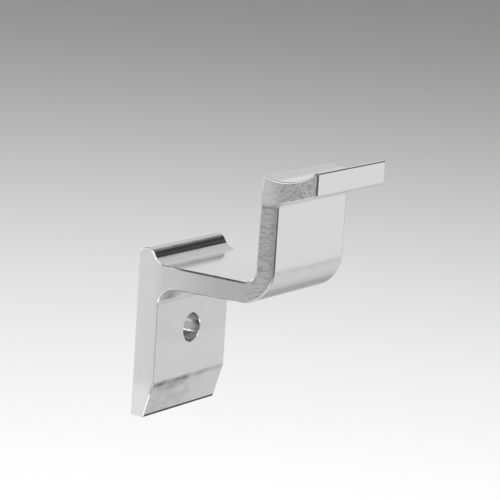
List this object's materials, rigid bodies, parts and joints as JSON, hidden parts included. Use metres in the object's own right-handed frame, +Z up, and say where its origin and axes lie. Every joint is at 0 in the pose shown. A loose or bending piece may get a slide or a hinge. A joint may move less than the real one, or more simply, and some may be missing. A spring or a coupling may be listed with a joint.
{
  "type": "handrail bracket",
  "caption": "One-piece extruded aluminium wall bracket: drilled wall plate, short arm, upright and a curved cradle that carries a round handrail.",
  "frame": {"origin": "centre of the wall bolt hole on the plate's back face", "axes": "+X along the rail, +Y into the wall, +Z up; the bracket reaches out along -Y"},
  "size_m": [0.04, 0.0635, 0.087],
  "materials": {
    "bracket": "bright extruded faces, fine-sawn ends with broken edges"
  },
  "bodies": {
    "root": {"handrail_bracket": "bracket"}
  },
  "joints": []
}
